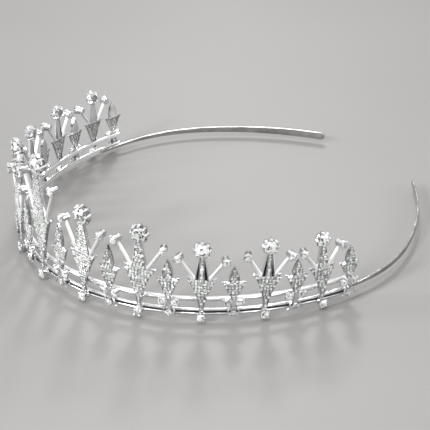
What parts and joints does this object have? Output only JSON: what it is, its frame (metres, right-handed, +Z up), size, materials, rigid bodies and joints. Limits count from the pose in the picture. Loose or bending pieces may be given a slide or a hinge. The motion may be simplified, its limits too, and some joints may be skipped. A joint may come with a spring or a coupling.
{
  "type": "bridal tiara",
  "caption": "Open bridal tiara of polished white metal with two rails, a graduated row of stone-set ornaments and two slim springy head arms.",
  "frame": {"origin": "centre of the overall box in plan, on the plane the base collets stand on", "axes": "+Z up, centre front faces -Y, open side faces +Y, the wearer's left is +X"},
  "size_m": [0.1485, 0.1529, 0.0478],
  "materials": {
    "polished_metal": "bright polished white metal",
    "clear_stone": "clear facetted stones"
  },
  "bodies": {
    "tiara": {"upper_rail": "polished_metal", "lower_rail": "polished_metal", "left_arm_root": "polished_metal", "right_arm_root": "polished_metal", "tall_centre": "polished_metal", "tall_left_1": "polished_metal", "tall_right_1": "polished_metal", "tall_left_2": "polished_metal", "tall_right_2": "polished_metal", "tall_left_3": "polished_metal", "tall_right_3": "polished_metal", "tall_left_4": "polished_metal", "tall_right_4": "polished_metal", "tall_left_5": "polished_metal", "tall_right_5": "polished_metal", "short_left_1": "polished_metal", "short_right_1": "polished_metal", "short_left_2": "polished_metal", "short_right_2": "polished_metal", "short_left_3": "polished_metal", "short_right_3": "polished_metal", "short_left_4": "polished_metal", "short_right_4": "polished_metal", "short_left_5": "polished_metal", "short_right_5": "polished_metal", "short_left_6": "polished_metal", "short_right_6": "polished_metal", "base_stone_centre": "clear_stone", "base_stone_left_1": "clear_stone", "base_stone_right_1": "clear_stone", "base_stone_left_2": "clear_stone", "base_stone_right_2": "clear_stone", "base_stone_left_3": "clear_stone", "base_stone_right_3": "clear_stone", "base_stone_left_4": "clear_stone", "base_stone_right_4": "clear_stone", "base_stone_left_5": "clear_stone", "base_stone_right_5": "clear_stone", "crown_stone_centre": "clear_stone", "crown_stone_left_1": "clear_stone", "crown_stone_right_1": "clear_stone", "crown_stone_left_2": "clear_stone", "crown_stone_right_2": "clear_stone", "crown_stone_left_3": "clear_stone", "crown_stone_right_3": "clear_stone", "crown_stone_left_4": "clear_stone", "crown_stone_right_4": "clear_stone", "crown_stone_left_5": "clear_stone", "crown_stone_right_5": "clear_stone"},
    "left_arm": {"left_arm": "polished_metal"},
    "right_arm": {"right_arm": "polished_metal"}
  },
  "joints": [
    {"name": "left_arm_flex", "type": "hinge", "parent": "tiara", "child": "left_arm", "pos_m": [0.06945, 0.0036, 0.0031], "axis": [0, 0, -1], "range_deg": [-3, 10], "stiffness_Nm_per_rad": 0.14},
    {"name": "right_arm_flex", "type": "hinge", "parent": "tiara", "child": "right_arm", "pos_m": [-0.06945, 0.0036, 0.0031], "axis": [0, 0, 1], "range_deg": [-3, 10], "stiffness_Nm_per_rad": 0.14}
  ]
}
